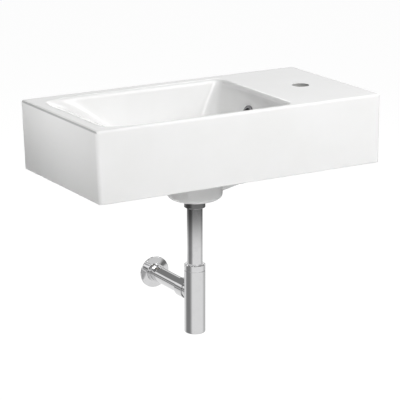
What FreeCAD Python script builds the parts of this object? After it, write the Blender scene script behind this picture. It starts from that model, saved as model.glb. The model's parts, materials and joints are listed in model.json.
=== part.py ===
"""Wall hung basin with an offset bowl, a click waste and a chromed bottle trap.

Millimetres. +X is to the right when facing the wall, the wall plane is y = 0, the
basin's front looks towards -Y and +Z is up. The origin lies on the wall plane,
midway between the two wall fixing holes. Each function makes one piece.
"""
import FreeCAD, Part
import math
import os

Vec = FreeCAD.Vector
Y_AXIS = Vec(0, 1, 0)
Z_AXIS = Vec(0, 0, 1)

# ---------------------------------------------------------------- clearances
FREE_GAP = 0.3          # between curved faces of pieces that turn or slide
SLIP_GAP = 0.1          # between a pipe or stem and the piece that guides it
SEAT_GAP = 0.05         # between a sliding pipe and its seals
OVERRUN = 5.0           # how far a cutting shape runs past the faces it cuts
OVERLAP = 0.5           # how far joined shapes reach into each other
NEAR = 0.01             # an edge this close to a face lies on it
BAND = 1.0              # height of the band in which the edges of one face are looked for
FULL_TURN = 360.0

# ---------------------------------------------------------------- ceramic basin
BASIN_WIDTH = 650.0
BASIN_DEPTH = 325.0
APRON_HEIGHT = 143.0
END_LEAN = 5.3          # the left end leans in by this much at the bottom
CORNER_R = 7.0          # upright outer corners
RIM_EDGE_R = 5.0        # outer edge of the rim
FOOT_EDGE_R = 2.0       # lower edge of the apron
WALL = 12.0             # ceramic thickness of the apron, deck and bowl

FIXING_SPACING = 280.0
FIXING_DROP = 118.0     # rim down to the fixing holes
FIXING_HOLE_R = 7.0     # M10 hanger bolt in its plastic sleeve
FIXING_PAD_R = 24.0
FIXING_PAD_THICK = 8.0

RIM_LEFT = 16.0         # rim from the left end to the bowl
RIM_FRONT = 19.0
RIM_BACK = 33.0
BOWL_LENGTH = 428.0     # bowl opening along the basin
BOWL_DEPTH = 148.0
BOWL_EDGE_R = 10.0      # rounded edge of the opening
BOWL_FLOOR_R = 30.0     # rounding between the floor and the walls
BOWL_LEFT_CORNER_R = 40.0
BOWL_RIGHT_CORNER_R = 12.0
BOWL_FLOOR_CORNER_R = 66.0
BOWL_RIGHT_LEAN = 0.30  # how far the right wall leans in per unit of depth
BOWL_BACK_LEAN = 0.08
BOWL_FRONT_LEAN = 0.10
BOWL_OVER = 32.0        # the bowl's cutting shape goes on above the rim
RAMP_RISE = 5.0         # the ramp's curve starts this far above the rim, so it runs into it
RAMP_EASE = 10.0        # fall over the ramp's gentle start
RAMP_LEAD = 30.0        # the ramp's curve starts this far left of the bowl
RAMP_SHOULDER = 112.0
RAMP_KNEE = 188.0
RAMP_FOOT = 268.0       # the ramp meets the level floor here

TAP_HOLE_R = 17.5
TAP_HOLE_EDGE_R = 1.2
TAP_HOLE_FROM_RIGHT = 92.0
TAP_PAD_R = 36.0
TAP_PAD_THICK = 6.0

# ---------------------------------------------------------------- waste outlet in the ceramic
WASTE_FROM_LEFT = 304.0
WASTE_HOLE_R = 23.0
BOSS_R = 56.5
BOSS_HEIGHT = 63.0      # the bowl's floor down to the underside of the boss
BOSS_ROUND = 35.0       # width of the rounding under the boss
BOSS_ROUND_RISE = 14.0
FLANGE_RECESS_R = 33.0
FLANGE_RECESS = 3.0
NUT_RECESS_R = 34.0
NUT_RECESS = 14.0
CHAMBER_R = 40.0        # hollow ring round the waste that takes the overflow water
CHAMBER_ROOF = 15.0     # ceramic between the bowl's floor and the chamber
CHAMBER_HEIGHT = 21.0

# ---------------------------------------------------------------- overflow
OVERFLOW_DROP = 45.0    # rim down to the overflow hole
OVERFLOW_HOLE_R = 12.0
DUCT_WIDTH = 60.0
DUCT_DEPTH = 24.0       # how far the duct stands off the bowl's right wall
DUCT_WALL = 9.0
DUCT_TOP = 23.0         # rim down to the top of the duct
DUCT_EDGE_R = 8.0
DUCT_FALL = 0.209       # fall of the duct's run towards the waste
DUCT_RUN_BELOW = 47.5   # the bowl's floor down to the duct's underside at the chamber
RING_R = 16.0
RING_THICK = 2.5
RING_HOLE_R = 10.0
RING_SLEEVE = 9.0
RING_EDGE_R = 0.9

# ---------------------------------------------------------------- waste fitting
FLANGE_R = 31.5
FLANGE_THICK = 2.6
FLANGE_EDGE = 0.8       # bevel round the flange
FLANGE_FUNNEL = 2.0     # bevel into the bore
FLANGE_SEAL_R = 29.5
FLANGE_SEAL_THICK = 1.6
TAIL_R = 20.95          # G 1 1/4 thread
TAIL_BORE_R = 17.6
TAIL_NECK_R = 19.0      # reduced thread that takes the inlet nut
TAIL_NECK = 9.5
SOCKET_DEPTH = 28.0     # socket for the tailpipe, up from the tail's end
PIPE_IN_SOCKET = 24.0
SLOT_COUNT = 4
SLOT_WIDTH = 12.0
SLOT_HEIGHT = 13.0
CROSS_ARMS = 4
CROSS_ARM_WIDTH = 3.0
CROSS_HEIGHT = 7.0
CROSS_DROP = 13.0       # flange down to the cross
CROSS_HUB_WALL = 2.5
LOWER_SEAL_R = 31.0
LOWER_SEAL_THICK = 4.0
THRUST_WASHER_R = 30.0
THRUST_WASHER_THICK = 1.5
BACKNUT_R = 30.0
BACKNUT_THICK = 8.0
BACKNUT_SIDES = 6

# ---------------------------------------------------------------- click plug
CAP_R = 30.0
CAP_THICK = 3.2
CAP_DOME = 2.2
CAP_EDGE_R = 1.2
CAP_HUB_DROP = 6.0
CAP_LIFT = 8.0          # gap under the cap's seal when the plug is up
PLUG_SEAL_R = 24.0
PLUG_SEAL_INNER_R = 17.0
PLUG_SEAL_THICK = 2.4
CAP_HUB_R = 5.5
STEM_R = 2.5
STEM_HEAD_R = 4.6
STEM_HEAD_THICK = 3.0
CARTRIDGE_R = 7.0
CARTRIDGE_BORE_R = 5.4
CARTRIDGE_WALL = 2.0
CARTRIDGE_LENGTH = 30.0
CARTRIDGE_ABOVE = 8.0   # above the cross
SPRING_WIRE_R = 0.45
SPRING_TURNS = 6

# ---------------------------------------------------------------- pipes and trap
PIPE_R = 16.0
PIPE_WALL = 1.2
NUT_R = 21.7            # inlet nut and trap top nut
NUT_LIP = 2.4
INLET_NUT_HEIGHT = 12.5
INLET_NUT_GAP = 1.5     # under the boss
INLET_SEAL_THICK = 2.4
NUT_EDGE = 0.6          # bevel on the nuts
TRAP_TOP_DROP = 345.0   # rim down to the top of the trap's nut
TRAP_HEIGHT = 148.0     # the nut's top down to the foot of the bottle
TOP_NUT_HEIGHT = 13.5
TOP_NUT_CHAMFER = 2.0
GROOVE = 1.0            # between the trap's nut and its body
SLIP_RING_THICK = 1.3
TOP_SEAL_THICK = 2.6
BODY_R = 21.8
BODY_WALL = 1.8
BODY_FOOT_R = 3.0
BODY_NECK_R = 19.6
BODY_SHOULDER = 3.0
DIP_GAP = 18.0          # pipe's end above the cleaning cap
CAP_SEAT_R = 16.6
CAP_SEAT_HEIGHT = 9.0
CLEAN_CAP_THICK = 6.0
CLEAN_CAP_SET_BACK = 1.2
SPIGOT_R = 14.2
CLEAN_SLOT_WIDTH = 3.0
CLEAN_SLOT_DEPTH = 2.5
ORING_R = 1.1

# ---------------------------------------------------------------- outlet
OUTLET_BELOW_NUT = 51.0 # the trap nut's underside down to the outlet's axis
STUB_R = 18.1
STUB_BORE_R = 16.3
STUB_END = 47.0         # from the trap's axis
OUTLET_NUT_R = 20.0
OUTLET_NUT_START = 24.5
OUTLET_NUT_END = 52.0
OUTLET_LIP = 1.5
OUTLET_SEAL_THICK = 2.2
OUTLET_PIPE_START = 26.0
OUTLET_PIPE_IN_WALL = 25.0
PIPE_MARK_WIDTH = 1.0   # shallow ring that shows how far the pipe goes into the wall
PIPE_MARK_DEPTH = 0.2
ROSETTE_R = 33.5
ROSETTE_EDGE = 2.6
ROSETTE_RISE = 1.8
ROSETTE_NECK_R = 19.2
ROSETTE_NECK = 13.0     # from the wall to the end of the neck
ROSETTE_SKIN = 1.4
ROSETTE_GROOVE = 2.2
ROSETTE_EDGE_R = 0.9
GROOVE_SET_BACK = 2.0

# ---------------------------------------------------------------- places worked out from the sizes
RIM_Z = FIXING_DROP
FOOT_Z = RIM_Z - APRON_HEIGHT
LEFT_X = -BASIN_WIDTH / 2
RIGHT_X = BASIN_WIDTH / 2
BOWL_LEFT = LEFT_X + RIM_LEFT
BOWL_RIGHT = BOWL_LEFT + BOWL_LENGTH
BOWL_BACK = -RIM_BACK
BOWL_FRONT = -BASIN_DEPTH + RIM_FRONT
BOWL_MID_Y = (BOWL_BACK + BOWL_FRONT) / 2
FLOOR_Z = RIM_Z - BOWL_DEPTH
WASTE_X = LEFT_X + WASTE_FROM_LEFT
TAP_X = RIGHT_X - TAP_HOLE_FROM_RIGHT
BOSS_Z = FLOOR_Z - BOSS_HEIGHT
CHAMBER_TOP_Z = FLOOR_Z - CHAMBER_ROOF
SEAT_Z = FLOOR_Z - FLANGE_RECESS
NUT_SEAT_Z = BOSS_Z + NUT_RECESS
INLET_NUT_TOP = BOSS_Z - INLET_NUT_GAP
INLET_NUT_Z = INLET_NUT_TOP - INLET_NUT_HEIGHT
TAIL_END_Z = INLET_NUT_Z + NUT_LIP + INLET_SEAL_THICK + SEAT_GAP
TOP_NUT_TOP = RIM_Z - TRAP_TOP_DROP
TOP_NUT_Z = TOP_NUT_TOP - TOP_NUT_HEIGHT
NECK_TOP_Z = TOP_NUT_TOP - NUT_LIP - SLIP_RING_THICK - TOP_SEAL_THICK - 2 * SEAT_GAP
BODY_TOP_Z = TOP_NUT_Z - GROOVE
BODY_BOTTOM_Z = TOP_NUT_TOP - TRAP_HEIGHT
CLEAN_CAP_Z = BODY_BOTTOM_Z + CLEAN_CAP_SET_BACK
OUTLET_Z = TOP_NUT_Z - OUTLET_BELOW_NUT
PIPE_BORE_R = PIPE_R - PIPE_WALL
FLANGE_Z = SEAT_Z + FLANGE_SEAL_THICK + FLANGE_THICK
CAP_Z = FLANGE_Z + CAP_LIFT + PLUG_SEAL_THICK
CARTRIDGE_TOP_Z = FLANGE_Z - CROSS_DROP + CARTRIDGE_ABOVE
DIP_Z = CLEAN_CAP_Z + CLEAN_CAP_THICK + DIP_GAP
WALL_REACH = -BOWL_MID_Y


def tube(outer, inner, low, high, x=WASTE_X, y=BOWL_MID_Y):
    """Upright ring or tube about the waste's axis."""
    body = Part.makeCylinder(outer, high - low, Vec(x, y, low))
    if inner > 0:
        bore = Part.makeCylinder(inner, high - low + 2 * OVERRUN, Vec(x, y, low - OVERRUN))
        body = body.cut(bore)
    return body


def outlet_tube(outer, inner, near, far):
    """Level ring or tube about the outlet's axis, between two distances from the trap's axis."""
    start = Vec(WASTE_X, BOWL_MID_Y + near, OUTLET_Z)
    body = Part.makeCylinder(outer, far - near, start, Y_AXIS)
    if inner > 0:
        bore = Part.makeCylinder(inner, far - near + 2 * OVERRUN, start - Y_AXIS * OVERRUN, Y_AXIS)
        body = body.cut(bore)
    return body


def revolved(points, x=WASTE_X, y=BOWL_MID_Y):
    """Solid of revolution about an upright axis from (radius, height) points."""
    loop = [Vec(x + radius, y, height) for radius, height in points]
    face = Part.Face(Part.makePolygon(loop + loop[:1]))
    return face.revolve(Vec(x, y, 0), Z_AXIS, FULL_TURN)


def edges_where(shape, test):
    """Edges of a shape whose middle point and bounding box pass a test."""
    found = []
    for edge in shape.Edges:
        middle = edge.valueAt((edge.FirstParameter + edge.LastParameter) / 2)
        if test(middle, edge.BoundBox):
            found.append(edge)
    return found


def ring_at(radius, low, high):
    """Test for the level round edges of a given radius between two heights."""
    def test(middle, box):
        is_round = abs(box.XLength - 2 * radius) < NEAR
        return is_round and box.ZLength < NEAR and low - NEAR < box.ZMin < high + NEAR
    return test


def ring_across(radius, near, far):
    """Test for the round edges of a given radius about a line along Y, between two places on it."""
    def test(middle, box):
        is_round = abs(box.XLength - 2 * radius) < NEAR
        return is_round and box.YLength < NEAR and near - NEAR < box.YMin < far + NEAR
    return test


def rounded_loop(left, right, front, back, left_r, right_r, height):
    """Closed level outline with rounded corners."""
    share = 1 - math.sqrt(0.5)
    near_l = left_r * share
    near_r = right_r * share

    def line(start, end):
        return Part.makeLine(Vec(*start, height), Vec(*end, height))

    def arc(start, middle, end):
        return Part.Arc(Vec(*start, height), Vec(*middle, height), Vec(*end, height)).toShape()

    return Part.Wire([
        line((left + left_r, front), (right - right_r, front)),
        arc((right - right_r, front), (right - near_r, front + near_r), (right, front + right_r)),
        line((right, front + right_r), (right, back - right_r)),
        arc((right, back - right_r), (right - near_r, back - near_r), (right - right_r, back)),
        line((right - right_r, back), (left + left_r, back)),
        arc((left + left_r, back), (left + near_l, back - near_l), (left, back - left_r)),
        line((left, back - left_r), (left, front + left_r)),
        arc((left, front + left_r), (left + near_l, front + near_l), (left + left_r, front)),
    ])


# ---------------------------------------------------------------- basin body
def leaning_block(inset, top_z, low_z):
    """Flat-sided block with a leaning left end and rounded upright corners."""
    lean = END_LEAN / APRON_HEIGHT
    top_left = Vec(LEFT_X + inset + lean * (RIM_Z - top_z), -BASIN_DEPTH + inset, top_z)
    low_left = Vec(LEFT_X + inset + lean * (RIM_Z - low_z), -BASIN_DEPTH + inset, low_z)
    low_right = Vec(RIGHT_X - inset, -BASIN_DEPTH + inset, low_z)
    top_right = Vec(RIGHT_X - inset, -BASIN_DEPTH + inset, top_z)
    end = Part.Face(Part.makePolygon([top_left, low_left, low_right, top_right, top_left]))
    solid = end.extrude(Y_AXIS * (BASIN_DEPTH - 2 * inset))
    upright = edges_where(solid, lambda middle, box: box.ZLength > top_z - low_z - NEAR)
    return solid.makeFillet(CORNER_R, upright)


def block():
    """Outer shape of the ceramic, with its rounded edges."""
    solid = leaning_block(0, RIM_Z, FOOT_Z)
    rim = edges_where(solid, lambda middle, box: box.ZMin > RIM_Z - BAND)
    solid = solid.makeFillet(RIM_EDGE_R, rim)
    lower = edges_where(solid, lambda middle, box: box.ZMax < FOOT_Z + BAND)
    return solid.makeFillet(FOOT_EDGE_R, lower)


def underside_hollow():
    """Space inside the apron, open below."""
    return leaning_block(WALL, RIM_Z - WALL, FOOT_Z - OVERRUN)


def bowl_outline(down, grow):
    """Level outline of the bowl at a depth; its corners widen towards the floor."""
    share = down / BOWL_DEPTH
    left_r = BOWL_LEFT_CORNER_R + (BOWL_FLOOR_CORNER_R - BOWL_LEFT_CORNER_R) * share + grow
    right_r = BOWL_RIGHT_CORNER_R + (BOWL_FLOOR_CORNER_R - BOWL_RIGHT_CORNER_R) * share + grow
    right = BOWL_RIGHT + grow - BOWL_RIGHT_LEAN * down
    front = BOWL_FRONT - grow + BOWL_FRONT_LEAN * down
    back = BOWL_BACK + grow - BOWL_BACK_LEAN * down
    return rounded_loop(BOWL_LEFT - grow, right, front, back, left_r, right_r, RIM_Z - down)


def above_ramp(grow):
    """Everything above the ramp and the level floor, to cut the bowl's walls to length."""
    floor_z = RIM_Z - BOWL_DEPTH - grow
    shift = grow / 2
    start = Vec(BOWL_LEFT - RAMP_LEAD - grow, 0, RIM_Z + RAMP_RISE - grow)
    shoulder = Vec(BOWL_LEFT + RAMP_SHOULDER - shift, 0, start.z - RAMP_EASE)
    knee = Vec(BOWL_LEFT + RAMP_KNEE - shift, 0, floor_z)
    foot = Vec(BOWL_LEFT + RAMP_FOOT - shift, 0, floor_z)
    curve = Part.BezierCurve()
    curve.setPoles([start, shoulder, knee, foot])
    high = RIM_Z + BOWL_OVER + OVERRUN
    corners = [foot, Vec(RIGHT_X, 0, floor_z), Vec(RIGHT_X, 0, high), Vec(start.x, 0, high), start]
    sides = [Part.makeLine(corners[number], corners[number + 1]) for number in range(len(corners) - 1)]
    prism = Part.Face(Part.Wire([curve.toShape()] + sides)).extrude(Y_AXIS * (BASIN_DEPTH + 2 * OVERRUN))
    prism.translate(Y_AXIS * (-BASIN_DEPTH - OVERRUN))
    return prism


def bowl_shape(grow):
    """The bowl's space, or with grow its outside: leaning walls, a ramp and a rounded floor."""
    depth = BOWL_DEPTH + grow
    walls = Part.makeLoft([bowl_outline(-BOWL_OVER, grow), bowl_outline(depth, grow)], True, True)
    space = walls.common(above_ramp(grow)).Solids[0]
    ramp_foot = BOWL_LEFT + RAMP_FOOT

    def on_floor(middle, box):
        upright = box.ZMax > RIM_Z
        level_join = box.XLength < NEAR and middle.x < ramp_foot and middle.z < RIM_Z - depth + BAND
        return not upright and not level_join

    return space.makeFillet(BOWL_FLOOR_R + grow, edges_where(space, on_floor))


def below_rim():
    """Everything under the middle of the deck, to trim what is joined to it from below."""
    top = RIM_Z - WALL / 2
    low = BOSS_Z - OVERRUN
    return Part.makeBox(BASIN_WIDTH, BASIN_DEPTH, top - low, Vec(LEFT_X, -BASIN_DEPTH, low))


def boss():
    """Round boss under the bowl that carries the waste, with a rounded underside."""
    steps = 8
    points = [(0, FLOOR_Z - WALL / 2), (0, BOSS_Z)]
    for step in range(steps + 1):
        turn = math.pi / 2 * step / steps
        radius = BOSS_R - BOSS_ROUND + BOSS_ROUND * math.sin(turn)
        points.append((radius, BOSS_Z + BOSS_ROUND_RISE * (1 - math.cos(turn))))
    points.append((BOSS_R, FLOOR_Z - WALL / 2))
    return revolved(points)


def wall_x(down, out):
    """X of the bowl's right wall at a depth, moved outwards."""
    return BOWL_RIGHT - BOWL_RIGHT_LEAN * down + out


def duct(inset):
    """Overflow duct outside the bowl's right wall and under its floor; inset gives its channel."""
    out = WALL + DUCT_DEPTH - inset
    inner = WALL / 2 if inset else 0
    top = DUCT_TOP + inset
    under = BOWL_DEPTH + CHAMBER_ROOF if inset else BOWL_DEPTH
    run_z = FLOOR_Z - DUCT_RUN_BELOW + inset - DUCT_FALL * CHAMBER_R
    corner_z = run_z + DUCT_FALL * (wall_x(RIM_Z, out) - WASTE_X)
    corner_z /= 1 - DUCT_FALL * BOWL_RIGHT_LEAN
    points = [Vec(WASTE_X, 0, run_z), Vec(wall_x(RIM_Z - corner_z, out), 0, corner_z),
              Vec(wall_x(top, out), 0, RIM_Z - top), Vec(wall_x(top, inner), 0, RIM_Z - top),
              Vec(wall_x(under, inner), 0, RIM_Z - under), Vec(WASTE_X, 0, RIM_Z - under)]
    width = DUCT_WIDTH - 2 * inset
    face = Part.Face(Part.makePolygon(points + points[:1]))
    solid = face.extrude(Y_AXIS * width)
    solid.translate(Y_AXIS * (BOWL_MID_Y - width / 2))
    if inset:
        return solid
    low_x = points[1].x

    def outer_edge(middle, box):
        on_side = box.YLength < BAND and middle.x > WASTE_X + BAND
        return on_side and middle.z < RIM_Z - top - BAND and (middle.x >= low_x or middle.z < corner_z)

    return solid.makeFillet(DUCT_EDGE_R, edges_where(solid, outer_edge))


def overflow_axis():
    """Point on the bowl's right wall and the direction out through the wall."""
    point = Vec(wall_x(OVERFLOW_DROP, 0), BOWL_MID_Y, RIM_Z - OVERFLOW_DROP)
    inwards = Vec(-1, 0, BOWL_RIGHT_LEAN)
    inwards.normalize()
    return point, inwards


def fixing_places():
    """X of the two wall fixing holes."""
    return -FIXING_SPACING / 2, FIXING_SPACING / 2


def added_ceramic():
    """What is joined to the hollow block: bowl, boss, duct and the pads round the holes."""
    parts = [bowl_shape(WALL).common(below_rim()), boss(), duct(0)]
    tap_pad = Vec(TAP_X, BOWL_MID_Y, RIM_Z - WALL - TAP_PAD_THICK)
    parts.append(Part.makeCylinder(TAP_PAD_R, TAP_PAD_THICK + WALL / 2, tap_pad))
    for x in fixing_places():
        start = Vec(x, -WALL / 2, 0)
        parts.append(Part.makeCylinder(FIXING_PAD_R, FIXING_PAD_THICK + WALL / 2, start, -Y_AXIS))
    return parts


def ceramic_cuts():
    """What is cut out of the ceramic, the bowl first."""
    chamber_z = CHAMBER_TOP_Z - CHAMBER_HEIGHT
    cuts = [bowl_shape(0), duct(DUCT_WALL)]
    cuts.append(tube(WASTE_HOLE_R, 0, BOSS_Z - OVERRUN, FLOOR_Z + OVERRUN))
    cuts.append(tube(FLANGE_RECESS_R, 0, SEAT_Z, FLOOR_Z + OVERRUN))
    cuts.append(tube(NUT_RECESS_R, 0, BOSS_Z - OVERRUN, NUT_SEAT_Z))
    cuts.append(tube(CHAMBER_R, 0, chamber_z, chamber_z + CHAMBER_HEIGHT))
    point, inwards = overflow_axis()
    start = point + inwards * OVERRUN
    cuts.append(Part.makeCylinder(OVERFLOW_HOLE_R, WALL + 2 * OVERRUN, start, -inwards))
    deep = WALL + TAP_PAD_THICK + 2 * OVERRUN
    cuts.append(Part.makeCylinder(TAP_HOLE_R, deep, Vec(TAP_X, BOWL_MID_Y, RIM_Z + OVERRUN), -Z_AXIS))
    deep = WALL + FIXING_PAD_THICK + 2 * OVERRUN
    for x in fixing_places():
        cuts.append(Part.makeCylinder(FIXING_HOLE_R, deep, Vec(x, OVERRUN, 0), -Y_AXIS))
    return cuts


def basin_body():
    """The glazed ceramic: rim, bowl, deck, apron, boss and overflow duct."""
    body = block().cut(underside_hollow()).fuse(added_ceramic())
    for cut in ceramic_cuts():
        body = body.cut(cut)
    body = body.removeSplitter().Solids[0]

    def bowl_edge(middle, box):
        across = LEFT_X + CORNER_R < middle.x < BOWL_RIGHT + BAND
        along = -BASIN_DEPTH + CORNER_R < middle.y < -CORNER_R
        return across and along and box.ZMin > RIM_Z - NEAR

    body = body.makeFillet(BOWL_EDGE_R, edges_where(body, bowl_edge))
    return body.makeFillet(TAP_HOLE_EDGE_R, edges_where(body, ring_at(TAP_HOLE_R, RIM_Z, RIM_Z)))


# ---------------------------------------------------------------- overflow ring
def overflow_ring():
    """Chromed ring on the bowl's wall with a sleeve in the overflow hole."""
    point, inwards = overflow_axis()
    ring = Part.makeCylinder(RING_R, RING_THICK, point, inwards)
    face_rim = [edge for edge in ring.Edges if NEAR < (edge.CenterOfMass - point).Length < RING_R - NEAR]
    ring = ring.makeFillet(RING_EDGE_R, face_rim)
    sleeve = Part.makeCylinder(OVERFLOW_HOLE_R - SLIP_GAP, RING_SLEEVE, point, -inwards)
    start = point + inwards * (RING_THICK + OVERRUN)
    bore = Part.makeCylinder(RING_HOLE_R, RING_SLEEVE + RING_THICK + 2 * OVERRUN, start, -inwards)
    return ring.fuse(sleeve).cut(bore).removeSplitter()


# ---------------------------------------------------------------- waste fitting
def waste_body():
    """Flanged waste with its threaded tail, overflow slots and the cross that holds the cartridge."""
    neck_z = TAIL_END_Z + TAIL_NECK
    socket_z = TAIL_END_Z + SOCKET_DEPTH
    profile = [(TAIL_BORE_R, socket_z), (TAIL_BORE_R, FLANGE_Z - FLANGE_FUNNEL),
               (TAIL_BORE_R + FLANGE_FUNNEL, FLANGE_Z), (FLANGE_R - FLANGE_EDGE, FLANGE_Z),
               (FLANGE_R, FLANGE_Z - FLANGE_EDGE), (FLANGE_R, FLANGE_Z - FLANGE_THICK),
               (TAIL_R, FLANGE_Z - FLANGE_THICK), (TAIL_R, neck_z), (TAIL_NECK_R, neck_z),
               (TAIL_NECK_R, TAIL_END_Z), (PIPE_R + SLIP_GAP, TAIL_END_Z), (PIPE_R + SLIP_GAP, socket_z)]
    body = revolved(profile)
    slot_z = CHAMBER_TOP_Z - (CHAMBER_HEIGHT + SLOT_HEIGHT) / 2
    cross_z = FLANGE_Z - CROSS_DROP - CROSS_HEIGHT
    axis = Vec(WASTE_X, BOWL_MID_Y, 0)
    hub = tube(CARTRIDGE_R + CROSS_HUB_WALL, 0, cross_z, cross_z + CROSS_HEIGHT)
    for number in range(CROSS_ARMS):
        turn = FULL_TURN * number / CROSS_ARMS
        arm = Part.makeBox(TAIL_BORE_R + OVERLAP, CROSS_ARM_WIDTH, CROSS_HEIGHT,
                           Vec(WASTE_X, BOWL_MID_Y - CROSS_ARM_WIDTH / 2, cross_z))
        arm.rotate(axis, Z_AXIS, turn)
        hub = hub.fuse(arm)
    body = body.fuse(hub)
    for number in range(SLOT_COUNT):
        turn = FULL_TURN * (number + 0.5) / SLOT_COUNT
        slot = Part.makeBox(TAIL_R + OVERRUN, SLOT_WIDTH, SLOT_HEIGHT,
                            Vec(WASTE_X, BOWL_MID_Y - SLOT_WIDTH / 2, slot_z))
        slot.rotate(axis, Z_AXIS, turn)
        keep = tube(TAIL_BORE_R - OVERLAP, 0, slot_z - OVERRUN, slot_z + SLOT_HEIGHT + OVERRUN)
        body = body.cut(slot.cut(keep))
    return body.cut(tube(CARTRIDGE_R + SLIP_GAP, 0, cross_z - OVERRUN, cross_z + CROSS_HEIGHT + OVERRUN))


def flange_seal():
    """Flat rubber ring under the waste's flange."""
    return tube(FLANGE_SEAL_R, TAIL_R + FREE_GAP, SEAT_Z, SEAT_Z + FLANGE_SEAL_THICK)


def lower_seal():
    """Rubber ring between the ceramic boss and the back nut's washer."""
    return tube(LOWER_SEAL_R, TAIL_R + SLIP_GAP, NUT_SEAT_Z - LOWER_SEAL_THICK, NUT_SEAT_Z)


def thrust_washer():
    """Plastic washer that lets the back nut turn on the rubber."""
    top = NUT_SEAT_Z - LOWER_SEAL_THICK
    return tube(THRUST_WASHER_R, TAIL_R + SLIP_GAP, top - THRUST_WASHER_THICK, top)


def waste_backnut():
    """Six-sided nut that clamps the waste from below."""
    top = NUT_SEAT_Z - LOWER_SEAL_THICK - THRUST_WASHER_THICK
    corners = []
    for number in range(BACKNUT_SIDES + 1):
        turn = 2 * math.pi * number / BACKNUT_SIDES
        corners.append(Vec(WASTE_X + BACKNUT_R * math.cos(turn),
                           BOWL_MID_Y + BACKNUT_R * math.sin(turn), top - BACKNUT_THICK))
    prism = Part.Face(Part.makePolygon(corners)).extrude(Z_AXIS * BACKNUT_THICK)
    return prism.cut(tube(TAIL_R + SLIP_GAP, 0, top - BACKNUT_THICK - OVERRUN, top + OVERRUN))


# ---------------------------------------------------------------- click plug
def cartridge_body():
    """Closed cylinder screwed into the cross, which guides the stem and holds the spring."""
    low = CARTRIDGE_TOP_Z - CARTRIDGE_LENGTH
    body = tube(CARTRIDGE_R, 0, low, CARTRIDGE_TOP_Z)
    body = body.cut(tube(CARTRIDGE_BORE_R, 0, low + CARTRIDGE_WALL, CARTRIDGE_TOP_Z - CARTRIDGE_WALL))
    mouth_z = CARTRIDGE_TOP_Z - CARTRIDGE_WALL
    return body.cut(tube(STEM_R + SLIP_GAP, 0, mouth_z - OVERLAP, CARTRIDGE_TOP_Z + OVERLAP))


def plug_stem():
    """Stem of the plug with the head that the spring pushes up."""
    head_top = CARTRIDGE_TOP_Z - CARTRIDGE_WALL - FREE_GAP
    top = CAP_Z + CAP_THICK / 2
    head = tube(STEM_HEAD_R, 0, head_top - STEM_HEAD_THICK, head_top)
    return tube(STEM_R, 0, head_top - STEM_HEAD_THICK / 2, top).fuse(head).removeSplitter()


def plug_spring():
    """Coil spring between the cartridge's floor and the stem's head."""
    radius = (STEM_HEAD_R + STEM_R) / 2
    low = CARTRIDGE_TOP_Z - CARTRIDGE_LENGTH + CARTRIDGE_WALL + SPRING_WIRE_R + SLIP_GAP
    high = CARTRIDGE_TOP_Z - CARTRIDGE_WALL - FREE_GAP - STEM_HEAD_THICK - SPRING_WIRE_R - SLIP_GAP
    path = Part.makeHelix((high - low) / SPRING_TURNS, high - low, radius)
    path.translate(Vec(WASTE_X, BOWL_MID_Y, low))
    ring = Part.Wire(Part.makeCircle(SPRING_WIRE_R, Vec(WASTE_X + radius, BOWL_MID_Y, low), Y_AXIS))
    return Part.Wire(path).makePipeShell([ring], True, True)


def plug_cap():
    """Domed chrome cap of the plug with the hub that the stem screws into."""
    edge = CAP_Z + CAP_THICK
    sphere_r = (CAP_R ** 2 + CAP_DOME ** 2) / (2 * CAP_DOME)
    centre = Vec(WASTE_X, BOWL_MID_Y, edge + CAP_DOME - sphere_r)
    dome = Part.makeSphere(sphere_r, centre)
    blank = tube(CAP_R, 0, CAP_Z, edge + CAP_DOME)
    cap = blank.common(dome)
    cap = cap.makeFillet(CAP_EDGE_R, edges_where(cap, ring_at(CAP_R, edge, edge)))
    hub_z = CAP_Z - CAP_HUB_DROP
    hub = tube(CAP_HUB_R, 0, hub_z, CAP_Z + CAP_THICK / 2)
    hole = tube(STEM_R, 0, hub_z - OVERRUN, CAP_Z + CAP_THICK / 2)
    return cap.fuse(hub).cut(hole).removeSplitter()


def plug_seal():
    """Rubber ring under the cap that closes on the flange."""
    return tube(PLUG_SEAL_R, PLUG_SEAL_INNER_R, CAP_Z - PLUG_SEAL_THICK, CAP_Z)


# ---------------------------------------------------------------- tailpipe and inlet
def inlet_nut():
    """Slip nut on the waste's tail."""
    nut = tube(NUT_R, PIPE_R + FREE_GAP, INLET_NUT_Z, INLET_NUT_TOP)
    nut = nut.cut(tube(TAIL_NECK_R + FREE_GAP, 0, INLET_NUT_Z + NUT_LIP, INLET_NUT_TOP + OVERRUN))
    return nut.makeChamfer(NUT_EDGE, edges_where(nut, ring_at(NUT_R, INLET_NUT_Z, INLET_NUT_TOP)))


def inlet_seal():
    """Rubber ring squeezed between the tail and the inlet nut."""
    return tube(TAIL_NECK_R - SLIP_GAP, PIPE_R + SEAT_GAP, INLET_NUT_Z + NUT_LIP + SEAT_GAP, TAIL_END_Z)


def tailpipe():
    """Straight pipe from the waste down into the trap, where it ends below the outlet."""
    return tube(PIPE_R, PIPE_BORE_R, DIP_Z, TAIL_END_Z + PIPE_IN_SOCKET)


# ---------------------------------------------------------------- trap
def trap_top_nut():
    """Slip nut on the trap's neck, chamfered towards the pipe."""
    nut = tube(NUT_R, PIPE_R + FREE_GAP, TOP_NUT_Z, TOP_NUT_TOP)
    nut = nut.cut(tube(BODY_NECK_R + FREE_GAP, 0, TOP_NUT_Z - OVERRUN, TOP_NUT_TOP - NUT_LIP))
    return nut.makeChamfer(TOP_NUT_CHAMFER, edges_where(nut, ring_at(NUT_R, TOP_NUT_TOP, TOP_NUT_TOP)))


def top_slip_ring():
    """Nylon ring that keeps the nut from twisting the seal."""
    high = TOP_NUT_TOP - NUT_LIP - SEAT_GAP
    return tube(BODY_NECK_R, PIPE_R + SLIP_GAP, high - SLIP_RING_THICK, high)


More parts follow.
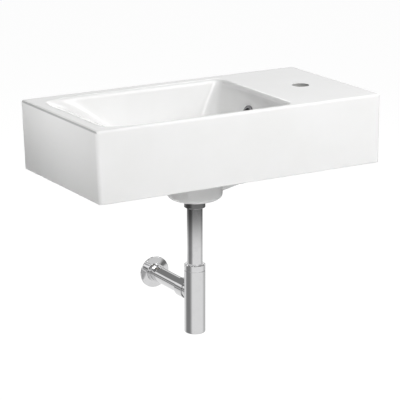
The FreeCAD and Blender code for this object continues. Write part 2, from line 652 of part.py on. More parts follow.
def top_seal():
    """Rubber ring that grips the tailpipe in the trap's neck."""
    return tube(BODY_NECK_R, PIPE_R + SEAT_GAP, NECK_TOP_Z + SEAT_GAP, NECK_TOP_Z + TOP_SEAL_THICK)


def trap_body():
    """Bottle of the trap: threaded neck, plain cylinder, foot ring and outlet stub."""
    outer = revolved([(0, BODY_BOTTOM_Z), (BODY_R, BODY_BOTTOM_Z), (BODY_R, BODY_TOP_Z),
                      (BODY_NECK_R, BODY_TOP_Z), (BODY_NECK_R, NECK_TOP_Z), (0, NECK_TOP_Z)])
    foot = edges_where(outer, ring_at(BODY_R, BODY_BOTTOM_Z, BODY_BOTTOM_Z))
    outer = outer.makeFillet(BODY_FOOT_R, foot)
    outer = outer.fuse(outlet_tube(STUB_R, 0, 0, STUB_END))
    bore_low = BODY_BOTTOM_Z + CAP_SEAT_HEIGHT
    outer = outer.cut(tube(BODY_R - BODY_WALL, 0, bore_low, BODY_TOP_Z - BODY_SHOULDER))
    outer = outer.cut(tube(PIPE_R + FREE_GAP, 0, BODY_TOP_Z - BODY_SHOULDER - OVERRUN, NECK_TOP_Z + OVERRUN))
    outer = outer.cut(tube(CAP_SEAT_R, 0, BODY_BOTTOM_Z - OVERRUN, bore_low + OVERRUN))
    return outer.cut(outlet_tube(STUB_BORE_R, 0, 0, STUB_END + OVERRUN)).removeSplitter()


def clean_cap():
    """Screw cap in the trap's foot with a coin slot and a spigot for its O-ring."""
    middle_z = CLEAN_CAP_Z + CLEAN_CAP_THICK / 2
    cap = tube(CAP_SEAT_R - FREE_GAP, 0, CLEAN_CAP_Z, middle_z)
    cap = cap.fuse(tube(SPIGOT_R, 0, middle_z, CLEAN_CAP_Z + CLEAN_CAP_THICK))
    slot = Part.makeBox(2 * SPIGOT_R, CLEAN_SLOT_WIDTH, CLEAN_SLOT_DEPTH + OVERRUN,
                        Vec(WASTE_X - SPIGOT_R, BOWL_MID_Y - CLEAN_SLOT_WIDTH / 2, CLEAN_CAP_Z - OVERRUN))
    return cap.cut(slot).removeSplitter()


def clean_cap_oring():
    """O-ring round the cleaning cap's spigot."""
    height = CLEAN_CAP_Z + CLEAN_CAP_THICK / 2 + ORING_R + SEAT_GAP
    return Part.makeTorus(SPIGOT_R + SEAT_GAP + ORING_R, ORING_R, Vec(WASTE_X, BOWL_MID_Y, height))


# ---------------------------------------------------------------- outlet
def outlet_nut():
    """Slip nut on the trap's outlet stub."""
    nut = outlet_tube(OUTLET_NUT_R, PIPE_R + FREE_GAP, OUTLET_NUT_START, OUTLET_NUT_END)
    thread_end = OUTLET_NUT_END - OUTLET_LIP
    nut = nut.cut(outlet_tube(STUB_R + FREE_GAP, 0, OUTLET_NUT_START - OVERRUN, thread_end))
    rims = ring_across(OUTLET_NUT_R, BOWL_MID_Y + OUTLET_NUT_START, BOWL_MID_Y + OUTLET_NUT_END)
    return nut.makeChamfer(NUT_EDGE, edges_where(nut, rims))


def outlet_slip_ring():
    """Nylon ring under the outlet nut's lip."""
    far = OUTLET_NUT_END - OUTLET_LIP - SEAT_GAP
    return outlet_tube(STUB_R, PIPE_R + SLIP_GAP, STUB_END + OUTLET_SEAL_THICK + 2 * SEAT_GAP, far)


def outlet_seal():
    """Rubber ring that grips the outlet pipe."""
    near = STUB_END + SEAT_GAP
    return outlet_tube(STUB_R, PIPE_R + SEAT_GAP, near, near + OUTLET_SEAL_THICK)


def outlet_pipe():
    """Straight pipe from the trap's stub into the wall, marked where it enters."""
    pipe = outlet_tube(PIPE_R, PIPE_BORE_R, OUTLET_PIPE_START, WALL_REACH + OUTLET_PIPE_IN_WALL)
    mark_start = WALL_REACH - PIPE_MARK_WIDTH
    mark = outlet_tube(PIPE_R + OVERRUN, PIPE_R - PIPE_MARK_DEPTH, mark_start, WALL_REACH)
    return pipe.cut(mark)


def wall_rosette():
    """Round chrome cover with a neck that slides along the outlet pipe."""
    skin = ROSETTE_SKIN
    bore = PIPE_R + FREE_GAP
    shoulder = ROSETTE_EDGE + ROSETTE_RISE
    outline = [(ROSETTE_R, 0), (ROSETTE_R, ROSETTE_EDGE), (ROSETTE_NECK_R, shoulder),
               (ROSETTE_NECK_R, ROSETTE_NECK), (bore, ROSETTE_NECK), (bore, shoulder - skin),
               (ROSETTE_R - skin, ROSETTE_EDGE - skin), (ROSETTE_R - skin, 0)]
    points = [Vec(WASTE_X + radius, -height, OUTLET_Z) for radius, height in outline]
    face = Part.Face(Part.makePolygon(points + points[:1]))
    cover = face.revolve(Vec(WASTE_X, 0, OUTLET_Z), Y_AXIS, FULL_TURN)
    groove_start = Vec(WASTE_X, GROOVE_SET_BACK - ROSETTE_NECK, OUTLET_Z)
    groove = Part.makeCylinder(bore + ROSETTE_GROOVE, 2 * (ORING_R + SEAT_GAP), groove_start, Y_AXIS)
    cover = cover.cut(groove)
    rim = edges_where(cover, ring_across(ROSETTE_R, -ROSETTE_EDGE, -ROSETTE_EDGE))
    neck = edges_where(cover, ring_across(ROSETTE_NECK_R, -ROSETTE_NECK, -shoulder))
    return cover.makeFillet(ROSETTE_EDGE_R, rim + neck)


def rosette_oring():
    """O-ring in the rosette's neck that holds it on the pipe."""
    height = ROSETTE_NECK - GROOVE_SET_BACK - SEAT_GAP - ORING_R
    return Part.makeTorus(PIPE_R + SEAT_GAP + ORING_R, ORING_R, Vec(WASTE_X, -height, OUTLET_Z), Y_AXIS)


PIECES = {
    "basin_body": basin_body,
    "overflow_ring": overflow_ring,
    "waste_body": waste_body,
    "flange_seal": flange_seal,
    "lower_seal": lower_seal,
    "thrust_washer": thrust_washer,
    "waste_backnut": waste_backnut,
    "cartridge_body": cartridge_body,
    "plug_stem": plug_stem,
    "plug_spring": plug_spring,
    "plug_cap": plug_cap,
    "plug_seal": plug_seal,
    "inlet_nut": inlet_nut,
    "inlet_seal": inlet_seal,
    "tailpipe": tailpipe,
    "trap_top_nut": trap_top_nut,
    "top_slip_ring": top_slip_ring,
    "top_seal": top_seal,
    "trap_body": trap_body,
    "clean_cap": clean_cap,
    "clean_cap_oring": clean_cap_oring,
    "outlet_nut": outlet_nut,
    "outlet_slip_ring": outlet_slip_ring,
    "outlet_seal": outlet_seal,
    "outlet_pipe": outlet_pipe,
    "wall_rosette": wall_rosette,
    "rosette_oring": rosette_oring,
}


def main():
    """Build every piece and write it as its own file."""
    os.makedirs("parts", exist_ok=True)
    for name, make in PIECES.items():
        shape = make()
        shape.exportStep("parts/" + name + ".step")
        print(name, round(shape.Volume / 1000, 2), "cm3")


main()
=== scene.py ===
"""Looks of a wall hung basin: its glaze, its chrome, the studio and the camera.

Metres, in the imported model's frame: +X to the right when facing the wall, the wall plane is
y = 0, the basin's front looks towards -Y and +Z is up.
"""
from __future__ import annotations

import json
import logging
import math
from dataclasses import dataclass, field
from enum import Enum
from typing import Any, Mapping, Sequence

import bmesh
import bpy
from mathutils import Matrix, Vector

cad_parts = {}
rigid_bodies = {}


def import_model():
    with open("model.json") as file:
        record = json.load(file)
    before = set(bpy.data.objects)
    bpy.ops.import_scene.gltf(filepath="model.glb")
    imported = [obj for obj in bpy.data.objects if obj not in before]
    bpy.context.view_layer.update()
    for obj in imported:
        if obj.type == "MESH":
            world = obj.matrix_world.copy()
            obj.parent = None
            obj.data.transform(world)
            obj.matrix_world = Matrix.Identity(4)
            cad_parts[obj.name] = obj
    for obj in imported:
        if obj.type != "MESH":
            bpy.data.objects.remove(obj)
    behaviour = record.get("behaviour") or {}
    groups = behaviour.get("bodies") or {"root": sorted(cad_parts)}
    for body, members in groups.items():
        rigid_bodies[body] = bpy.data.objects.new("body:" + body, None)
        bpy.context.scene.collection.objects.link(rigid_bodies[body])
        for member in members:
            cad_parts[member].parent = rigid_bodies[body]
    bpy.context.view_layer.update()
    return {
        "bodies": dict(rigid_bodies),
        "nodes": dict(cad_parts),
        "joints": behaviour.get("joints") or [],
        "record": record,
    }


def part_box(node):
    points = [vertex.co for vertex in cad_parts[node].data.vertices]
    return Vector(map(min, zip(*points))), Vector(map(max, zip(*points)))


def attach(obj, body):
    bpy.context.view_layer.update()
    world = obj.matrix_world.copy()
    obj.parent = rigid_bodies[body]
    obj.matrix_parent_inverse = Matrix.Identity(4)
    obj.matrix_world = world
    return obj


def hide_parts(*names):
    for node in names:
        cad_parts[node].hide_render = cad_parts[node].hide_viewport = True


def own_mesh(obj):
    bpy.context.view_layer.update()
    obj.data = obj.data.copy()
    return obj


log = logging.getLogger("basin")

Colour = tuple[float, float, float]
Point = tuple[float, float]
# Where a mask leaves 0 and where it reaches 1.
Rise = tuple[float, float]


# ---------------------------------------------------------------- shader expressions
class Field:
    """A shader value that takes part in Python expressions.

    Numbers go through Math nodes, colours through Mix nodes and vectors through Vector Math.
    """

    def __init__(self, graph: Graph, socket: bpy.types.NodeSocket) -> None:
        """Keep a node's output.

        Args:
            graph: The node tree that the output belongs to.
            socket: The output itself.
        """
        self.graph = graph
        self.socket = socket

    def _with(self, operation: str, other: Field | float | Sequence[float], swap: bool = False) -> Field:
        """Add the node that joins this value to another.

        Args:
            operation: The name that the node gives the operation.
            other: The second value.
            swap: Whether the other value comes first.

        Returns:
            The joined value.
        """
        pair = (other, self) if swap else (self, other)
        kind = self.socket.type
        if isinstance(other, Field) and other.socket.type != "VALUE":
            kind = other.socket.type
        if kind == "RGBA":
            settings = {"data_type": "RGBA", "blend_type": operation}
            sockets = {"Factor_Float": 1.0, "A_Color": opaque(pair[0]), "B_Color": opaque(pair[1])}
            return self.graph.node("ShaderNodeMix", settings, sockets, "Result_Color")
        maker = "ShaderNodeVectorMath" if kind == "VECTOR" else "ShaderNodeMath"
        return self.graph.node(maker, {"operation": operation}, {0: pair[0], 1: pair[1]})

    def __add__(self, other: Field | float) -> Field:
        """Sum of two values."""
        return self._with("ADD", other)

    def __radd__(self, other: float) -> Field:
        """Sum with a number on the left."""
        return self._with("ADD", other, swap=True)

    def __sub__(self, other: Field | float) -> Field:
        """Difference of two values."""
        return self._with("SUBTRACT", other)

    def __rsub__(self, other: float) -> Field:
        """A number less this value."""
        return self._with("SUBTRACT", other, swap=True)

    def __mul__(self, other: Field | float) -> Field:
        """Product of two values."""
        return self._with("MULTIPLY", other)

    def __rmul__(self, other: float) -> Field:
        """Product with a number on the left."""
        return self._with("MULTIPLY", other, swap=True)

    def __truediv__(self, other: Field | float) -> Field:
        """Quotient of two values."""
        return self._with("DIVIDE", other)

    def __rtruediv__(self, other: float) -> Field:
        """A number divided by this value."""
        return self._with("DIVIDE", other, swap=True)

    def step(self, low: float, high: float) -> Field:
        """Smooth rise from 0 to 1 between two values.

        Args:
            low: Where the rise starts.
            high: Where it ends; below low for a fall.

        Returns:
            The mask.
        """
        settings = {"interpolation_type": "SMOOTHSTEP"}
        return self.graph.node("ShaderNodeMapRange", settings,
                               {"Value": self, "From Min": low, "From Max": high})

    def root(self) -> Field:
        """Square root of the value."""
        return self.graph.node("ShaderNodeMath", {"operation": "SQRT"}, {0: self})

    def sine(self) -> Field:
        """Sine of the value, in radians."""
        return self.graph.node("ShaderNodeMath", {"operation": "SINE"}, {0: self})

    def reach(self, other: Field) -> Field:
        """Straight distance of a point from its distances along two axes.

        Args:
            other: The distance along the second axis.

        Returns:
            The straight distance.
        """
        return (self * self + other * other).root()


def opaque(value: Field | float | Sequence[float]) -> Field | tuple[float, ...]:
    """A value as a Mix node's colour socket wants it.

    Args:
        value: A field, a grey level or a colour of three numbers.

    Returns:
        The field itself, or a colour of four numbers.
    """
    if isinstance(value, Field):
        return value
    if isinstance(value, (int, float)):
        return (value, value, value, 1.0)
    return (*value[:3], 1.0)


class Graph:
    """A material's or the world's node tree, filled by expressions."""

    def __init__(self, tree: bpy.types.NodeTree) -> None:
        """Empty a node tree.

        Args:
            tree: The tree of a material or a world.
        """
        self.tree = tree
        tree.nodes.clear()

    def add(self, kind: str, settings: Mapping[str, Any] | None,
            sockets: Mapping[int | str, Any] | None) -> bpy.types.Node:
        """Add one node.

        Args:
            kind: The node's type.
            settings: Its own settings, set before its sockets.
            sockets: A value or a field for each named or numbered input.

        Returns:
            The node.
        """
        made = self.tree.nodes.new(kind)
        for name, value in (settings or {}).items():
            setattr(made, name, value)
        for name, value in (sockets or {}).items():
            target = self._socket(made.inputs, name)
            if isinstance(value, Field):
                self.tree.links.new(value.socket, target)
            else:
                target.default_value = value
        return made

    def node(self, kind: str, settings: Mapping[str, Any] | None = None,
             sockets: Mapping[int | str, Any] | None = None, output: int | str = 0) -> Field:
        """Add one node and take one of its outputs.

        Args:
            kind: The node's type.
            settings: Its own settings, set before its sockets.
            sockets: A value or a field for each named or numbered input.
            output: The output that is returned, by number, name or identifier.

        Returns:
            The node's output.
        """
        made = self.add(kind, settings, sockets)
        return Field(self, self._socket(made.outputs, output))

    @staticmethod
    def _socket(sockets: Any, name: int | str) -> bpy.types.NodeSocket:
        """Find a socket.

        Args:
            sockets: A node's inputs or outputs.
            name: The socket's number, identifier or name.

        Returns:
            The socket.
        """
        if isinstance(name, int):
            return sockets[name]
        for socket in sockets:
            if socket.identifier == name:
                return socket
        return sockets[name]

    def place(self) -> Field:
        """The point's place in the object's own coordinates."""
        return self.node("ShaderNodeTexCoord", output="Object")

    def axis(self, letter: str) -> Field:
        """One coordinate of the point's place.

        Args:
            letter: X, Y or Z.

        Returns:
            The coordinate in metres.
        """
        return self.node("ShaderNodeSeparateXYZ", None, {0: self.place()}, letter)

    def ray(self, kind: str) -> Field:
        """Mask of one kind of ray.

        Args:
            kind: The Light Path node's name for it, such as Is Camera Ray.

        Returns:
            1 for rays of that kind and 0 for the others.
        """
        return self.node("ShaderNodeLightPath", output=kind)

    def noise(self, scale: float, detail: float = 3.0, roughness: float = 0.5) -> Field:
        """Cloudy noise from 0 to 1.

        Args:
            scale: Clouds per metre.
            detail: How many finer layers it has.
            roughness: How strong the finer layers are.

        Returns:
            The noise.
        """
        sockets = {"Vector": self.place(), "Scale": scale, "Detail": detail, "Roughness": roughness}
        return self.node("ShaderNodeTexNoise", None, sockets)

    def mix(self, mask: Field | float, first: Field | Colour, second: Field | Colour) -> Field:
        """Blend two colours.

        Args:
            mask: 0 gives the first colour and 1 the second.
            first: The first colour.
            second: The second colour.

        Returns:
            The blended colour.
        """
        sockets = {"Factor_Float": mask, "A_Color": opaque(first), "B_Color": opaque(second)}
        return self.node("ShaderNodeMix", {"data_type": "RGBA"}, sockets, "Result_Color")

    def blend(self, mask: Field, first: Field, second: Field) -> Field:
        """Blend two shaders.

        Args:
            mask: 0 gives the first shader and 1 the second.
            first: The first shader.
            second: The second shader.

        Returns:
            The blended shader.
        """
        return self.node("ShaderNodeMixShader", None, {0: mask, 1: first, 2: second})

    def bump(self, height: Field, depth: float) -> Field:
        """Normal that follows a height.

        Args:
            height: Height from 0 to 1.
            depth: What a height of 1 is worth, in metres.

        Returns:
            The normal.
        """
        sockets = {"Height": height, "Distance": depth, "Strength": 1.0}
        return self.node("ShaderNodeBump", None, sockets, "Normal")

    def finish(self, shader: Field, output: str = "ShaderNodeOutputMaterial") -> None:
        """Send a shader to the tree's output.

        Args:
            shader: The shader.
            output: The output node's type.
        """
        self.add(output, None, {"Surface": shader})


def new_material(name: str) -> tuple[bpy.types.Material, Graph]:
    """Make an empty material.

    Args:
        name: The material's name.

    Returns:
        The material and its graph.
    """
    material = bpy.data.materials.new(name)
    material.use_nodes = True
    return material, Graph(material.node_tree)


# ---------------------------------------------------------------- finishes
@dataclass(frozen=True)
class Glaze:
    """White glossy glaze, left off the back. Lengths are in metres and scales per metre.

    The greys of the hole and of the edge are painted shade, tones matched to the main view, not other
    finishes.
    """

    colour: Colour = (0.905, 0.905, 0.902)
    thin_colour: Colour = (0.885, 0.885, 0.878)
    bare_colour: Colour = (0.80, 0.785, 0.745)
    # Painted shade inside the tap hole.
    hole_shade_colour: Colour = (0.40, 0.40, 0.39)
    # Painted shade along the top of the left side.
    edge_shade_colour: Colour = (0.50, 0.50, 0.50)
    roughness: float = 0.09
    bare_roughness: float = 0.82
    refraction: float = 1.5
    cloud_scale: float = 9.0
    cloud_range: Rise = (0.35, 0.75)
    cloud_roughness: float = 0.03
    grain_scale: float = 900.0
    grain_detail: float = 2.0
    grain_height: float = 4.0
    ripple_scale: float = 26.0
    ripple_detail: float = 1.0
    ripple: float = 0.00002
    back: Rise = (-0.0012, -0.0006)
    hole_centre: Point = (0.233, -0.1695)
    hole_radius: Rise = (0.0181, 0.0176)
    edge_side: Rise = (-0.3222, -0.3236)
    edge_foot: Rise = (0.1125, 0.1150)
    edge_head: Rise = (0.1182, 0.1168)

    def hole(self, graph: Graph) -> Field:
        """Mask of the painted shade inside the tap hole.

        Args:
            graph: The glaze's node tree.

        Returns:
            1 in the hole and 0 elsewhere.
        """
        across = graph.axis("X") - self.hole_centre[0]
        along = graph.axis("Y") - self.hole_centre[1]
        return across.reach(along).step(*self.hole_radius)

    def edge(self, graph: Graph) -> Field:
        """Mask of the thin line of painted shade along the top of the left side.

        Args:
            graph: The glaze's node tree.

        Returns:
            1 on the line and 0 elsewhere.
        """
        height = graph.axis("Z")
        side = graph.axis("X").step(*self.edge_side)
        return side * height.step(*self.edge_foot) * height.step(*self.edge_head)

    def material(self) -> bpy.types.Material:
        """Build the glaze.

        Returns:
            The material.
        """
        material, graph = new_material("white_glaze")
        clouds = graph.noise(self.cloud_scale)
        grain = graph.noise(self.grain_scale, self.grain_detail) * self.grain_height
        ripple = graph.noise(self.ripple_scale, self.ripple_detail)
        bare = graph.axis("Y").step(*self.back)
        colour = graph.mix(clouds.step(*self.cloud_range), self.colour, self.thin_colour)
        # Painted shade: a grey line along the top left edge.
        colour = graph.mix(self.edge(graph), colour, self.edge_shade_colour)
        # Painted shade: grey inside the tap hole.
        colour = graph.mix(self.hole(graph), colour, self.hole_shade_colour)
        colour = graph.mix(bare, colour, self.bare_colour)
        glossy = self.roughness + clouds * self.cloud_roughness
        surface = ripple * (1 - bare) + grain * bare
        graph.finish(graph.node("ShaderNodeBsdfPrincipled", None, {
            "Base Color": colour,
            "Roughness": glossy * (1 - bare) + bare * self.bare_roughness,
            "IOR": self.refraction,
            "Normal": graph.bump(surface, self.ripple)}, "BSDF"))
        return material


@dataclass(frozen=True)
class Metal:
    """A bare or plated metal with faint wear.

    Where grain is set, it has turning marks of that depth in metres.
    """

    name: str
    colour: Colour
    worn_colour: Colour
    roughness: float
    worn_roughness: float
    grain: float = 0.0
    grain_scale: float = 2400.0
    patch_scale: float = 320.0
    wear_scale: float = 46.0
    wear_detail: float = 4.0
    wear_layers: float = 0.6
    wear_range: Rise = (0.42, 0.78)

    def material(self) -> bpy.types.Material:
        """Build the metal.

        Returns:
            The material.
        """
        material, graph = new_material(self.name)
        wear = graph.noise(self.wear_scale, self.wear_detail, self.wear_layers).step(*self.wear_range)
        sockets = {
            "Base Color": graph.mix(wear, self.colour, self.worn_colour),
            "Roughness": self.roughness + wear * (self.worn_roughness - self.roughness),
            "Metallic": 1.0}
        if self.grain:
            rings = (graph.axis("Z") * self.grain_scale).sine() * 0.5 + 0.5
            sockets["Normal"] = graph.bump(rings * graph.noise(self.patch_scale), self.grain)
        graph.finish(graph.node("ShaderNodeBsdfPrincipled", None, sockets, "BSDF"))
        return material


@dataclass(frozen=True)
class Moulding:
    """Moulded rubber or plastic with a fine even grain, whose depth is in metres."""

    name: str
    colour: Colour
    pale_colour: Colour
    roughness: float
    cloud_scale: float = 120.0
    cloud_range: Rise = (0.35, 0.7)
    cloud_roughness: float = 0.1
    grain: float = 0.00004
    grain_scale: float = 1500.0
    grain_detail: float = 2.0

    def material(self) -> bpy.types.Material:
        """Build the moulding.

        Returns:
            The material.
        """
        material, graph = new_material(self.name)
        cloud = graph.noise(self.cloud_scale)
        grain = graph.noise(self.grain_scale, self.grain_detail)
        graph.finish(graph.node("ShaderNodeBsdfPrincipled", None, {
            "Base Color": graph.mix(cloud.step(*self.cloud_range), self.colour, self.pale_colour),
            "Roughness": self.roughness + cloud * self.cloud_roughness,
            "Normal": graph.bump(grain, self.grain)}, "BSDF"))
        return material


class Finish(Enum):
    """The finishes that the pieces take."""

    GLAZE = Glaze()
    CHROME = Metal("polished_chrome", (0.72, 0.72, 0.725), (0.69, 0.69, 0.695), 0.05, 0.10)
    # The overflow ring's chrome is painted dark: a painted dark reflection.
    SHADED_RING = Metal("chrome_painted_dark", (0.20, 0.20, 0.205), (0.16, 0.16, 0.165), 0.06, 0.12)
    BRASS = Metal("turned_brass", (0.72, 0.56, 0.28), (0.62, 0.48, 0.25), 0.24, 0.36, grain=0.00002)
    STEEL = Metal("drawn_steel", (0.58, 0.58, 0.59), (0.50, 0.50, 0.51), 0.22, 0.34)
    RUBBER = Moulding("black_rubber", (0.028, 0.028, 0.030), (0.045, 0.045, 0.047), 0.62)
    NYLON = Moulding("white_nylon", (0.82, 0.82, 0.79), (0.76, 0.76, 0.73), 0.45)


# Each finish's material, made when a piece first takes it.
MADE: dict[Finish, bpy.types.Material] = {}


def dress(obj: bpy.types.Object, finish: Finish) -> None:
    """Give a piece its finish, whose material is made once and shared.

    Args:
        obj: The piece.
        finish: The finish that it takes.
    """
    if finish not in MADE:
        MADE[finish] = finish.value.material()
    if not obj.material_slots:
        obj.data.materials.append(MADE[finish])
    for slot in obj.material_slots:
        slot.material = MADE[finish]
    log.info("%s takes %s", obj.name, finish.name.lower())


# ---------------------------------------------------------------- sub-assemblies
@dataclass
class Assembly:
    """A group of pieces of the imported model, each with its finish."""

    frame: dict[str, Any]
    finishes: Mapping[str, Finish] = field(default_factory=dict)

    def dress(self) -> None:
        """Dress every piece of the group."""
        for name, finish in self.finishes.items():
            dress(self.frame["nodes"][name], finish)


@dataclass
class Ceramic(Assembly):
    """The basin itself with its overflow ring."""

    finishes: Mapping[str, Finish] = field(default_factory=lambda: {
        "basin_body": Finish.GLAZE, "overflow_ring": Finish.SHADED_RING})
    flat_weight: int = 100

    def dress(self) -> None:
        """Dress the pieces and let the large flat faces lead the shading at their edges."""
        super().dress()
        modifier = self.frame["nodes"]["basin_body"].modifiers.new("flat_faces", "WEIGHTED_NORMAL")
        modifier.keep_sharp = True
        modifier.weight = self.flat_weight


@dataclass
class Waste(Assembly):
    """The waste fitting that is clamped in the basin."""

    finishes: Mapping[str, Finish] = field(default_factory=lambda: {
        "waste_body": Finish.CHROME, "flange_seal": Finish.RUBBER, "lower_seal": Finish.RUBBER,
        "thrust_washer": Finish.NYLON, "waste_backnut": Finish.BRASS})


@dataclass
class Plug(Assembly):
    """The cap that closes the waste, on a spring that shortens under it."""

    finishes: Mapping[str, Finish] = field(default_factory=lambda: {
        "cartridge_body": Finish.BRASS, "plug_stem": Finish.STEEL, "plug_spring": Finish.STEEL,
        "plug_cap": Finish.CHROME, "plug_seal": Finish.RUBBER})

    def dress(self) -> None:
        """Dress the pieces and put a dressed copy of the spring in place of the imported one, which is
        hidden.
        """
        super().dress()
        node = self.frame["nodes"]["plug_spring"]
        coils = bpy.data.objects.new("plug_spring_coils", node.data.copy())
        bpy.context.scene.collection.objects.link(coils)
        dress(coils, Finish.STEEL)
        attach(coils, "basin")
        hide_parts("plug_spring")
        low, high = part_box("plug_spring")
        press = next(joint for joint in self.frame["joints"] if joint["name"] == "plug_press")
        travel = max(abs(limit) for limit in press["range_m"])
        1 - travel / (high.z - low.z)
        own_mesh(coils)


@dataclass
class Trap(Assembly):
    """The pipes, nuts and bottle under the basin."""

    finishes: Mapping[str, Finish] = field(default_factory=lambda: {
        "inlet_nut": Finish.CHROME, "inlet_seal": Finish.RUBBER, "tailpipe": Finish.CHROME,
        "trap_top_nut": Finish.CHROME, "top_slip_ring": Finish.NYLON, "top_seal": Finish.RUBBER,
        "trap_body": Finish.CHROME, "clean_cap": Finish.CHROME, "clean_cap_oring": Finish.RUBBER,
        "outlet_nut": Finish.CHROME, "outlet_slip_ring": Finish.NYLON,
        "outlet_seal": Finish.RUBBER, "outlet_pipe": Finish.CHROME,
        "wall_rosette": Finish.CHROME, "rosette_oring": Finish.RUBBER})


# ---------------------------------------------------------------- studio
@dataclass
class Lamp:
    """A square soft light aimed at a point. Angles are in degrees and power is in watts.

    Azimuth 0 hangs it in front of the basin and 90 to the right.
    """

    name: str
    azimuth: float
    elevation: float
    power: float
    aim: Vector = Vector((0.0, -0.16, 0.0))
    size: float = 1.6
    distance: float = 3.0

    def light(self) -> bpy.types.Light:
        """Make the light.

        Returns:
            The light, without its power.
        """
        light = bpy.data.lights.new(self.name, "AREA")
        light.shape = "SQUARE"
        light.size = self.size
        return light

    def build(self) -> None:
        """Hang the light."""
        light = self.light()
        light.energy = self.power
        lamp = bpy.data.objects.new(self.name, light)
        turn = math.radians(self.azimuth)
        rise = math.radians(self.elevation)
        away = Vector((math.sin(turn) * math.cos(rise), -math.cos(turn) * math.cos(rise), math.sin(rise)))
        lamp.location = self.aim + away * self.distance
        lamp.rotation_euler = (-away).to_track_quat("-Z", "Y").to_euler()
        bpy.context.scene.collection.objects.link(lamp)


@dataclass
class Spot(Lamp):
    """A small near light whose beam fades out towards its rim."""

    size: float = 0.3
    distance: float = 1.5
    beam: float = 20.0

    def light(self) -> bpy.types.Light:
        """Make the light.

        Returns:
            The light, without its power.
        """
        light = bpy.data.lights.new(self.name, "SPOT")
        light.spot_size = math.radians(self.beam)
        light.spot_blend = 1.0
        light.shadow_soft_size = self.size / 2
        return light


@dataclass(frozen=True)
class PaintedShadeSide:
    """A way from the pool's middle in which painted shade darkens the floor.

    The spread is in cosines of the angle from that way.
    """

    way: Point
    spread: Rise
    depth: float

    def light(self, across: Field, along: Field, reach: Field) -> Field:
        """How much of the pool's painted light this side's painted shade leaves on the floor.

        Args:
            across: Distance from the pool's middle along X.
            along: Distance from the pool's middle along Y.
            reach: Straight distance from the pool's middle.

        Returns:
            1 away from this side, less the depth where it is darkest.
        """
        turn = (across * self.way[0] + along * self.way[1]) / reach
        return 1 - turn.step(*self.spread) * self.depth


@dataclass(frozen=True)
class PaintedPool:
    """A pool of light painted on the floor, which only the chrome sees and mirrors, set for the main view.
    """

    centre: Point = (-0.02, -0.17)
    left: PaintedShadeSide = PaintedShadeSide((-0.962, 0.272), (0.60, 0.99), 0.72)
    right: PaintedShadeSide = PaintedShadeSide((0.944, 0.329), (0.60, 1.0), 0.35)
    ring_start: Rise = (1.8, 2.3)
    ring_end: Rise = (2.8, 4.0)
    ring_fade: float = 0.8
    ring_depth: float = 0.80

    def light(self, graph: Graph) -> Field:
        """How light the painted pool makes the floor in the mirror.

        Args:
            graph: The floor's node tree.

        Returns:
            1 in the painted pool of light, and less in the painted shade of the ring round it and of the
            dark sides.
        """
        across = graph.axis("X") - self.centre[0]
        along = graph.axis("Y") - self.centre[1]
        reach = across.reach(along)
        ring = reach.step(*self.ring_start) - reach.step(*self.ring_end) * self.ring_fade
        sides = self.left.light(across, along, reach) * self.right.light(across, along, reach)
        return sides * (1 - ring * self.ring_depth)


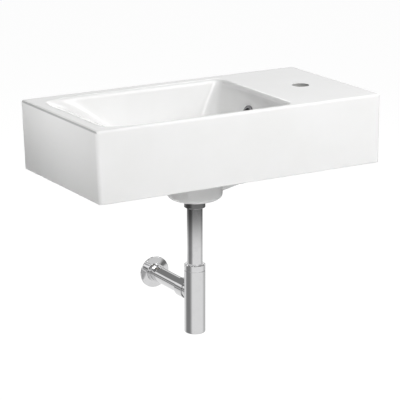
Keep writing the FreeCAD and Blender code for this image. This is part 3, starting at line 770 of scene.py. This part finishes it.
@dataclass
class Studio:
    """Camera, lights, floor and backdrop.

    Angles are in degrees, and the lens and the sensor are in millimetres.
    """

    camera_place: Vector = Vector((-1.9235, -3.3805, 0.9421))
    camera_yaw: float = 30.81
    camera_pitch: float = 15.50
    lens: float = 171.7
    sensor: float = 36.0
    world_grey: float = 0.06
    wall_grey: float = 0.25
    band_grey: float = 0.75
    band_rise: Rise = (0.12, 0.20)
    band_fall: Rise = (0.33, 0.41)
    floor_z: float = -0.75
    floor_size: float = 30.0
    floor_grey: float = 0.85
    floor_glow: float = 1.2
    glow_share: float = 0.8
    pool_grey: float = 0.92
    pool: PaintedPool = PaintedPool()
    lamps: Sequence[Lamp] = (
        Lamp("front", 0.0, 35.0, 48.0),
        Lamp("front_low", 0.0, 5.0, 4.0),
        Lamp("high_right", 45.0, 65.0, 10.0),
        Lamp("front_right", 45.0, 35.0, 30.0),
        Lamp("back_right", 135.0, 35.0, 16.0),
        Lamp("back_left", 225.0, 35.0, 9.0),
        Lamp("left", 270.0, 35.0, 8.0),
        Spot("left_top", 270.0, -8.0, 42.0, aim=Vector((-0.325, -0.08, 0.18)), beam=20.0),
        Spot("left_front", 270.0, -8.0, 34.0, aim=Vector((-0.325, -0.34, 0.12)), beam=22.0))

    def camera(self) -> None:
        """Set the camera at the photograph's viewing angle."""
        data = bpy.data.cameras.new("camera")
        data.lens = self.lens
        data.sensor_width = self.sensor
        camera = bpy.data.objects.new("camera", data)
        yaw = math.radians(self.camera_yaw)
        pitch = math.radians(self.camera_pitch)
        camera.location = self.camera_place
        camera.rotation_euler = (math.pi / 2 - pitch, 0.0, -yaw)
        bpy.context.scene.collection.objects.link(camera)
        bpy.context.scene.camera = camera

    def world(self) -> None:
        """Light dimly all round, white for the eye and grey with a white band for the chrome."""
        world = bpy.data.worlds.new("studio")
        world.use_nodes = True
        bpy.context.scene.world = world
        graph = Graph(world.node_tree)
        through = graph.node("ShaderNodeTexCoord", output="Generated")
        height = graph.node("ShaderNodeSeparateXYZ", None, {0: through}, "Z")
        band = height.step(*self.band_rise) - height.step(*self.band_fall)
        wall, soft, white = (
            graph.node("ShaderNodeBackground", None, {"Color": opaque(grey), "Strength": 1.0})
            for grey in (band * self.band_grey + self.wall_grey, self.world_grey, 1.0))
        lit = graph.blend(graph.ray("Is Glossy Ray"), soft, wall)
        graph.finish(graph.blend(graph.ray("Is Camera Ray"), lit, white), "ShaderNodeOutputWorld")

    def floor(self) -> None:
        """Lay a plain pale floor that shows white but keeps the shadow."""
        mesh = bpy.data.meshes.new("floor")
        made = bmesh.new()
        bmesh.ops.create_grid(made, x_segments=1, y_segments=1, size=self.floor_size / 2)
        made.to_mesh(mesh)
        made.free()
        floor = bpy.data.objects.new("floor", mesh)
        floor.location.z = self.floor_z
        bpy.context.scene.collection.objects.link(floor)
        floor.data.materials.append(self.floor_material())

    def floor_material(self) -> bpy.types.Material:
        """Build the floor's paint, which the eye sees glowing and the chrome sees as a painted pool of
        light and shade.

        Returns:
            The material.
        """
        material, graph = new_material("pale_floor")
        paint = graph.node("ShaderNodeBsdfDiffuse", None, {"Color": opaque(self.floor_grey)})
        white = graph.node("ShaderNodeEmission", None, {"Color": opaque(1.0), "Strength": self.floor_glow})
        # Painted light and shade for the chrome's reflections: a glowing pool with darker sides and ring.
        shade = self.pool.light(graph) * self.pool_grey
        painted_pool_glow = graph.node("ShaderNodeEmission", None, {"Color": shade, "Strength": 1.0})
        plain = graph.blend(graph.ray("Is Camera Ray") * self.glow_share, paint, white)
        graph.finish(graph.blend(graph.ray("Is Glossy Ray"), plain, painted_pool_glow))
        return material

    def build(self) -> None:
        """Set up everything that isn't part of the basin."""
        self.camera()
        self.world()
        self.floor()
        for lamp in self.lamps:
            lamp.build()
        bpy.context.scene.view_settings.view_transform = "Standard"


def main() -> None:
    """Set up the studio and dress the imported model."""
    logging.basicConfig(level=logging.INFO, format="%(name)s: %(message)s")
    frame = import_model()
    Studio().build()
    for assembly in (Ceramic, Waste, Plug, Trap):
        assembly(frame).dress()


if __name__ == "__main__":
    main()
